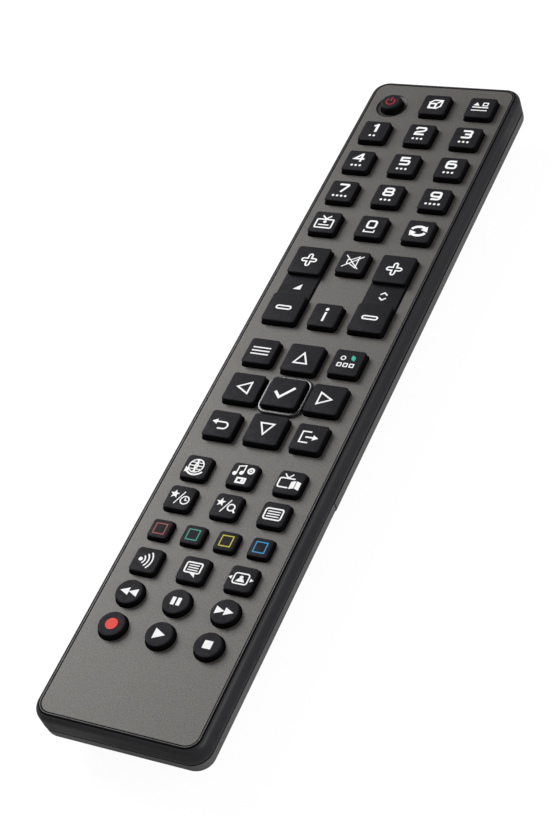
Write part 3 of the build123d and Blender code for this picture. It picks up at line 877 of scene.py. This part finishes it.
class REMOTE_OT_housings(Operator):
    """Paint the moulded housings, the window and everything inside"""

    bl_idname = "remote.housings"
    bl_label = "Housings"

    def execute(self, context):
        looks = context.scene.remote_housing
        upper = plastic_material("upper housing", tuple(looks.upper), 0.40, SATIN_GRAIN)
        lower = plastic_material("lower housing", tuple(looks.lower), 0.55, COARSE_GRAIN)
        joint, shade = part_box("battery_door")[1].z, looks.joint_shade
        # Painted shade: the top of the lower body turns nearly black towards the joint, where
        # shade falls in the gap.
        shade_edge(lower, joint - shade, joint - 0.6 * shade, (0.002,) * 3)
        # Painted light: the rim's lowest stretch over the joint turns almost twice as light.
        foot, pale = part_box("upper_housing")[0].z, looks.painted_light_edge
        shade_edge(upper, foot + 1.2 * pale, foot + 0.4 * pale, shaded(looks.upper, 1.9))
        contact = steel_material("contact", (0.62, 0.60, 0.54), 0.28)
        paints = {
            "upper_housing": upper,
            "lower_housing": lower,
            "battery_door": lower,
            "ir_window": gloss_material("window", (0.012, 0.003, 0.005), 0.12),
            "ir_lamp": gloss_material("lamp", (0.10, 0.08, 0.13), 0.10, 0.6),
            "keypad_web": rubber_material("web rubber", (0.03, 0.03, 0.033)),
            "circuit_board": board_material((0.02, 0.12, 0.05)),
            "controller_chip": plastic_material("chip", (0.02,) * 3, 0.5, CHIP_GRAIN),
            "battery_cells": steel_material("cell", (0.42, 0.44, 0.47), 0.35),
            "contact_plates": contact,
            "contact_springs": contact,
        }
        for name, paint in paints.items():
            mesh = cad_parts[name].data
            mesh.materials.clear()
            mesh.materials.append(paint)
        self.joint_shade_band(looks, joint + CLEAR)
        return {"FINISHED"}

    def joint_shade_band(self, looks, low):
        """Painted shade in the gap between the two halves: a thin dark band just inside their
        outside.
        """
        middle, half, high, _ = centre_of("upper_housing")
        outer, inner = -looks.joint_inset, -looks.joint_inset - TRIM_DEPTH
        profile = [(outer, low), (outer, high), (inner, high), (inner, low)]
        # A nearly black plastic that paints the shade in the joint.
        black = plastic_material("joint", (0.001,) * 3, 0.8, LINE_GRAIN, LINE_SHINE)
        add_trim("joint_shade_band", middle, half, looks.body_corner, profile, black)


class REMOTE_OT_faceplate(Operator):
    """Build the faceplate with its rounded holes, its trim and the hollow of the power key"""

    bl_idname = "remote.faceplate"
    bl_label = "Faceplate"

    def execute(self, context):
        looks = context.scene.remote_housing
        keys = context.scene.remote_keys
        middle, half, low, top = centre_of("faceplate")
        outlines = [rounded_ring(*half, looks.plate_corner, 12) + middle]
        outlines += self.holes(looks, keys)
        plate = self.cut_plate(outlines, low, top, looks.plate_edge)
        paint = plate_material("faceplate paint", tuple(looks.plate))
        dress(plate, "housing", "plate", paint, "faceplate")
        self.add_dish(looks, keys, low, top)
        self.add_trims(looks, middle, half, top)
        return {"FINISHED"}

    def holes(self, looks, keys):
        """The outlines of the hollow, of the ring and of the other keys with their gaps."""
        outlines = []
        for name in sorted(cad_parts):
            if not name.startswith("key_") or name == "key_ok":
                continue
            centre, reach, _, _ = centre_of(name)
            if name == "key_power":
                outline = circle_ring(looks.dish)
            elif name in ROUND_KEYS:
                outline = circle_ring(reach[0] + keys.gap)
            else:
                corner = keys.small_corner if name in SMALL_KEYS else keys.corner
                outline = rounded_ring(*(reach + keys.gap), corner + keys.gap, 8)
            outlines.append(outline + centre)
        centre, reach, _, _ = centre_of("ok_ring")
        ring = rounded_ring(*(reach + RING_FIT), looks.ring_corner + RING_FIT, 10)
        return outlines + [ring + centre]

    def cut_plate(self, outlines, low, top, edge):
        """A flat filled curve with holes, made thick and slightly rounded, as a mesh."""
        sheet = bpy.data.curves.new("faceplate sheet", "CURVE")
        sheet.dimensions = "2D"
        sheet.fill_mode = "BOTH"
        sheet.extrude = (top - low) / 2 - edge
        sheet.bevel_depth = edge
        sheet.bevel_resolution = 2
        sheet.offset = -edge
        for outline in outlines:
            line = sheet.splines.new("POLY")
            line.points.add(len(outline) - 1)
            line.points.foreach_set("co", lifted(lifted(outline, 0.0), 1.0).ravel())
            line.use_cyclic_u = True
        holder = linked("faceplate sheet", sheet)
        bpy.context.view_layer.update()
        mesh = bpy.data.meshes.new_from_object(holder)
        bpy.data.objects.remove(holder)
        mesh.transform(Matrix.Translation((0.0, 0.0, (low + top) / 2)))
        closed = bmesh.new()
        closed.from_mesh(mesh)
        bmesh.ops.remove_doubles(closed, verts=closed.verts, dist=0.000001)
        bmesh.ops.recalc_face_normals(closed, faces=closed.faces)
        closed.to_mesh(mesh)
        closed.free()
        mesh.polygons.foreach_set("use_smooth", np.zeros(len(mesh.polygons), bool))
        mesh.name = "faceplate_skin"
        return linked("faceplate_skin", mesh)

    def add_dish(self, looks, keys, low, top):
        """The hollow round the power key: a quarter ellipse turned about the key's middle, with
        painted shade.
        """
        centre, reach, _, _ = centre_of("key_power")
        hole = reach[0] + keys.gap
        across = np.linspace(0.0, 1.0, 12)
        radius = [looks.dish, *(hole + (looks.dish - hole) * across)[::-1], hole]
        height = [low, *(top - looks.dish_depth * np.sqrt(1 - across ** 2))[::-1], low]
        rings = [lifted(circle_ring(r) + centre, z) for r, z in zip(radius, height)]
        piece = new_object("power_dish", *stack_rings(rings, loop=True))
        # Painted shade: the hollow gets the plate's paint at a quarter of its colour.
        paint = plate_material("painted dish shade", shaded(looks.plate, 0.25))
        dress(piece, "housing", "plate", paint)

    def add_trims(self, looks, middle, half, plate_top):
        """Painted shade round the plate, the fine raised lip and painted shade over the groove
        outside it.

        The line round the plate is a thin dark band in the gap to the rim, and the groove a
        dark band lying on the rim's shoulder: both paint the shade there. The lip's colour, a
        little lighter than the rim's, is a painted highlight. Lip and groove lie on the rim's
        shoulder, a quarter circle whose centre is one radius in from the outside and one
        radius under its crown. The lip is half a sine wave.
        """
        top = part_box("upper_housing")[1].z
        radius = looks.shoulder
        start = (centre_of("upper_housing")[1] - half)[0] - radius

        def drop(across):
            """How far the shoulder lies under its crown, at an offset out from the plate."""
            return radius - np.sqrt(radius ** 2 - (across - start) ** 2)

        line, high, low = looks.edge_line, plate_top - looks.edge_drop, plate_top - TRIM_DEPTH
        near = looks.plate_gap
        far = near + looks.lip_width
        edge = far + looks.groove_width
        turn = np.linspace(pi, 0.0, 7)
        bead = near + looks.lip_width * (1 - np.cos(turn)) / 2
        crest = top - LIP_RISE + LIP_RISE * np.sin(turn)
        lip_foot, groove_foot = top - TRIM_DEPTH, top - GROOVE_DEPTH
        across = np.linspace(edge, far, 4)
        skin = top + drop(near) - drop(across) + CLEAR
        # Painted shade: nearly black bands in the gap round the plate and over the groove on the
        # shoulder.
        black = plastic_material("plate gap", (0.002, 0.002, 0.003), 0.7, LINE_GRAIN, LINE_SHINE)
        # The lip is a raised bead that catches light; its colour, a little lighter than the
        # rim's, is a painted highlight.
        grey = plastic_material("rim lip", tuple(looks.lip), 0.35, LIP_GRAIN)
        trims = {
            "plate_shade_band": (black, [(line, low), (line, high), (0.0, high), (0.0, low)]),
            "rim_lip": (grey, [(far, lip_foot), *zip(bead, crest), (near, lip_foot)]),
            "groove_shade_band": (black, [(edge, groove_foot), *zip(across, skin), (far, groove_foot)]),
        }
        for name, (material, profile) in trims.items():
            add_trim(name, middle, half, looks.plate_corner, profile, material)


def add_cap(name, skin, keys):
    """A key's rubber surface, which rides on the key and stands for it."""
    piece = new_object(name + "_cap", *skin)
    dress(piece, name, "key_rubber", key_material(keys), name)


class REMOTE_OT_square_keys(Operator):
    """Build the keys with a rounded square outline"""

    bl_idname = "remote.square_keys"
    bl_label = "Square keys"

    def execute(self, context):
        keys = context.scene.remote_keys
        lift = context.scene.remote_symbols.thickness
        for name in LARGE_KEYS + SMALL_KEYS + COLOUR_KEYS + ["key_ok"]:
            centre, half, low, top = centre_of(name)
            corner = keys.small_corner if name in SMALL_KEYS + ["key_ok"] else keys.corner
            cap = square_cap(centre, half, corner, low, top - lift, keys.edge, keys.lean)
            add_cap(name, cap, keys)
        return {"FINISHED"}


class REMOTE_OT_round_keys(Operator):
    """Build the round keys: the power key and the media keys"""

    bl_idname = "remote.round_keys"
    bl_label = "Round keys"

    def execute(self, context):
        keys = context.scene.remote_keys
        lift = context.scene.remote_symbols.thickness
        for name in ROUND_KEYS + ["key_power"]:
            centre, half, low, top = centre_of(name)
            edge = 2.0 * keys.edge if name == "key_power" else keys.edge
            add_cap(name, round_cap(centre, half[0], low, top - lift, edge, keys.lean), keys)
        return {"FINISHED"}


class REMOTE_OT_rockers(Operator):
    """Build the two rockers: a raised pad at each end of a low bridge, on a round rib"""

    bl_idname = "remote.rockers"
    bl_label = "Rockers"

    def execute(self, context):
        keys = context.scene.remote_keys
        lift = context.scene.remote_symbols.thickness
        plate_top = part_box("faceplate")[1].z
        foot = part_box("key_mute")[0].z
        for name in ROCKERS:
            centre, half, low, top = centre_of(name)
            pad = np.array([half[0], half[0]])
            shift = np.array([0.0, half[1] - half[0]])
            parts = [
                square_cap(middle, pad, keys.corner, foot, top - lift, keys.edge, keys.lean)
                for middle in (centre + shift, centre - shift)
            ]
            parts.append(square_cap(
                centre, half - BRIDGE_INSET, keys.corner, foot, plate_top + BRIDGE_RISE,
                BRIDGE_EDGE, BRIDGE_LEAN,
            ))
            parts.append(round_rib(centre, keys.rib_radius, keys.rib_length / 2, low, plate_top))
            add_cap(name, merge(parts), keys)
        return {"FINISHED"}


class REMOTE_OT_ok_ring(Operator):
    """Build the polished ring round the middle key of the pad"""

    bl_idname = "remote.ok_ring"
    bl_label = "Ring"

    def execute(self, context):
        looks = context.scene.remote_housing
        centre, half, low, top = centre_of("ok_ring")
        inner = centre_of("key_ok")[1] + RING_GAP
        profile = edge_profile(low, top, RING_EDGE, 0.0, 5)
        rings = rings_round(centre, half, looks.ring_corner, profile, 9)
        rings += rings_round(centre, inner, RING_HOLE_CORNER, profile[::-1] * (-1, 1), 9)
        piece = new_object("ok_ring_skin", *stack_rings(rings, loop=True))
        gloss = gloss_material("ring", (0.022, 0.022, 0.023), 0.26)
        dress(piece, "housing", "ring", gloss, "ok_ring")
        return {"FINISHED"}


class REMOTE_OT_symbols(Operator):
    """Print the symbols and numbers on the keys"""

    bl_idname = "remote.symbols"
    bl_label = "Symbols"

    def execute(self, context):
        looks = context.scene.remote_symbols
        line = looks.line / MM
        self.thickness = looks.thickness
        self.inks = {
            ink: print_material("printed " + ink, tuple(getattr(looks, ink)))
            for ink in ("white", "power", "record", "red", "green", "yellow", "blue", "leaf")
        }
        shapes = {**function_symbols(line), **direction_symbols(line), **media_symbols()}
        for name, drawn in shapes.items():
            self.print_on("key_" + name, drawn)
        self.number_keys(looks)
        self.rocker_signs(line)
        self.coloured_signs()
        return {"FINISHED"}

    def print_on(self, name, drawn, suffix="symbol", ink="white", drop=0.0):
        """A printed layer on one key's top, or a drop below it, riding on that key."""
        centre, _, _, top = centre_of(name)
        mesh = symbol_mesh(drawn, centre, top - self.thickness - drop, self.thickness)
        piece = new_object(f"{name}_{suffix}", *mesh, smooth=False)
        dress(piece, name, "key_rubber", self.inks[ink])

    def number_keys(self, looks):
        """Numbers, each over a row of dots, and the 0 over a bracket."""
        size = (looks.digit_width / MM, looks.digit_height / MM, looks.digit_line / MM)
        for name in NUMBER_KEYS:
            digit = name[-1]
            rise = 0.75 if digit == "0" else 1.15
            self.print_on(name, moved(digit_lines(digit, *size), 0, rise), "number")
            if digit == "0":
                below = stroke([(-1.5, -1.3), (-1.5, -2.1), (1.5, -2.1), (1.5, -1.3)], 0.4)
            else:
                count = DOTS.get(digit, 3)
                places = (np.arange(count) - (count - 1) / 2) * 1.25
                below = sum((disc(x, -1.95, 0.38, 16) for x in places), [])
            self.print_on(name, below)

    def rocker_signs(self, line):
        """Outlined plus and minus on the pads and a small sign on the bridge."""
        plus = band(plus_outline(4.7, 1.5), plus_outline(4.7 - 2 * line, 1.5 - 2 * line))
        minus = frame_line(0, 0, 4.7, 1.5, 0.75, line)
        bridge = {
            "key_volume": area([(-1.1, -1), (1.1, -1), (1.1, 1)]),
            "key_programme": strokes(
                0.4, [(-1, 0.5), (0, 1.3), (1, 0.5)], [(-1, -0.5), (0, -1.3), (1, -0.5)]
            ),
        }
        bridge_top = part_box("faceplate")[1].z + BRIDGE_RISE
        for name in ROCKERS:
            _, half, _, top = centre_of(name)
            reach = (half[1] - half[0]) / MM
            self.print_on(name, moved(plus, 0, reach) + moved(minus, 0, -reach))
            drop = top - bridge_top - 2 * self.thickness
            self.print_on(name, bridge[name], "bridge", drop=drop)

    def coloured_signs(self):
        """The power sign, the record dot, the green leaf and the four colour squares."""
        power = arc(0, -0.1, 1.25, 0.4, 125, 415) + stroke([(0, 0.2), (0, 1.7)], 0.4)
        self.print_on("key_power", power, ink="power")
        self.print_on("key_record", disc(0, 0, 1.58, 40), ink="record")
        self.print_on("key_quick_menu", leaf(1.4, 1.55, 2.1, 1.15, 118), "leaf", "leaf")
        for name in COLOUR_KEYS:
            square = frame_line(0, 0, 3.3, 3.3, 0.15, 0.30)
            self.print_on(name, square, ink=name.removeprefix("key_"))


class REMOTE_OT_studio(Operator):
    """Set the camera, the lamps and the white floor"""

    bl_idname = "remote.studio"
    bl_label = "Studio"

    def execute(self, context):
        scene = context.scene
        studio = scene.remote_studio
        scene.view_settings.view_transform = "Standard"
        self.camera(scene, studio)
        self.lamp("key lamp", studio.key_power, (0.45, 0.45), (-0.60, 0.30, 0.48))
        self.lamp("side lamp", studio.side_power, (0.5, 0.3), (0.55, 0.0, 0.22))
        self.sky(scene, studio)
        self.floor(studio)
        return {"FINISHED"}

    def camera(self, scene, studio):
        """Solved from the faceplate's rectangle and the grid of keys in the photograph."""
        lens = bpy.data.cameras.new("camera")
        lens.sensor_width = 36.0
        lens.lens = studio.lens
        lens.clip_start = 0.01
        holder = linked("camera", lens)
        x, y, height = CAMERA_PLACE
        place = Matrix.Translation((x, y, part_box("faceplate")[1].z + height))
        holder.matrix_world = place @ Matrix(CAMERA_AXES).transposed().to_4x4()
        scene.camera = holder

    def lamp(self, name, power, size, place):
        """A rectangular area lamp that points at the middle of the remote."""
        light = bpy.data.lights.new(name, "AREA")
        light.shape = "RECTANGLE"
        light.size, light.size_y = size
        light.energy = power
        holder = linked(name, light)
        holder.location = place
        holder.rotation_euler = (-holder.location).to_track_quat("-Z", "Y").to_euler()

    def sky(self, scene, studio):
        """White all round: plain light on the object, pure white where it is seen."""
        scene.world = bpy.data.worlds.new("sky")
        scene.world.use_nodes = True
        tree = scene.world.node_tree
        tree.nodes.clear()
        lit = node(tree, "Background", Color=WHITE, Strength=studio.sky)
        seen = node(tree, "Background", Color=WHITE, Strength=1.0)
        seen_apart(tree, lit, seen, node(tree, "OutputWorld"))

    def floor(self, studio):
        """A floor that the camera sees as white with a faint shadow, and the remote as pale.

        What the camera sees is a glow plus a share of the light. Other rays meet a pale
        matte floor, so the sides of the remote get its light from below.
        """
        corners = [(x * FLOOR_REACH, y * FLOOR_REACH, 0.0)
                   for x, y in ((-1, -1), (1, -1), (1, 1), (-1, 1))]
        piece = new_object("floor", corners, [[0, 1, 2, 3]], smooth=False)
        material, tree, shader = new_material("floor", (0.4,) * 3, 0.9, shine=0.0)
        share = node(tree, "BsdfDiffuse", Color=(*(studio.floor_shade,) * 3, 1.0))
        glow = node(tree, "Emission", Strength=studio.floor_glow)
        seen = node(tree, "AddShader")
        join(share, "BSDF", seen, 0)
        join(glow, "Emission", seen, 1)
        seen_apart(tree, shader, seen, tree.nodes["Material Output"])
        piece.data.materials.append(material)


class REMOTE_PT_panel(Panel):
    """Lists the pieces and the sizes and colours they are made with"""

    bl_label = "Television remote control"
    bl_idname = "REMOTE_PT_panel"
    bl_space_type = "VIEW_3D"
    bl_region_type = "UI"
    bl_category = "Remote"

    def draw(self, context):
        for operator in OPERATORS:
            self.layout.operator(operator.bl_idname)
        for group in GROUPS:
            settings = getattr(context.scene, group)
            box = self.layout.box()
            for name in settings.bl_rna.properties.keys():
                if name not in ("rna_type", "name"):
                    box.prop(settings, name)


GROUPS = {
    "remote_keys": KeySettings,
    "remote_symbols": SymbolSettings,
    "remote_housing": HousingSettings,
    "remote_studio": StudioSettings,
}
OPERATORS = [
    REMOTE_OT_housings,
    REMOTE_OT_faceplate,
    REMOTE_OT_square_keys,
    REMOTE_OT_round_keys,
    REMOTE_OT_rockers,
    REMOTE_OT_ok_ring,
    REMOTE_OT_symbols,
    REMOTE_OT_studio,
]


def register():
    for name, group in GROUPS.items():
        bpy.utils.register_class(group)
        setattr(bpy.types.Scene, name, PointerProperty(type=group))
    for operator in OPERATORS:
        bpy.utils.register_class(operator)
    bpy.utils.register_class(REMOTE_PT_panel)


def unregister():
    bpy.utils.unregister_class(REMOTE_PT_panel)
    for operator in reversed(OPERATORS):
        bpy.utils.unregister_class(operator)
    for name, group in reversed(GROUPS.items()):
        delattr(bpy.types.Scene, name)
        bpy.utils.unregister_class(group)


def main():
    """Builds everything in order."""
    register()
    bpy.ops.remote.housings()
    bpy.ops.remote.faceplate()
    bpy.ops.remote.square_keys()
    bpy.ops.remote.round_keys()
    bpy.ops.remote.rockers()
    bpy.ops.remote.ok_ring()
    bpy.ops.remote.symbols()
    bpy.ops.remote.studio()


if __name__ == "__main__":
    main()
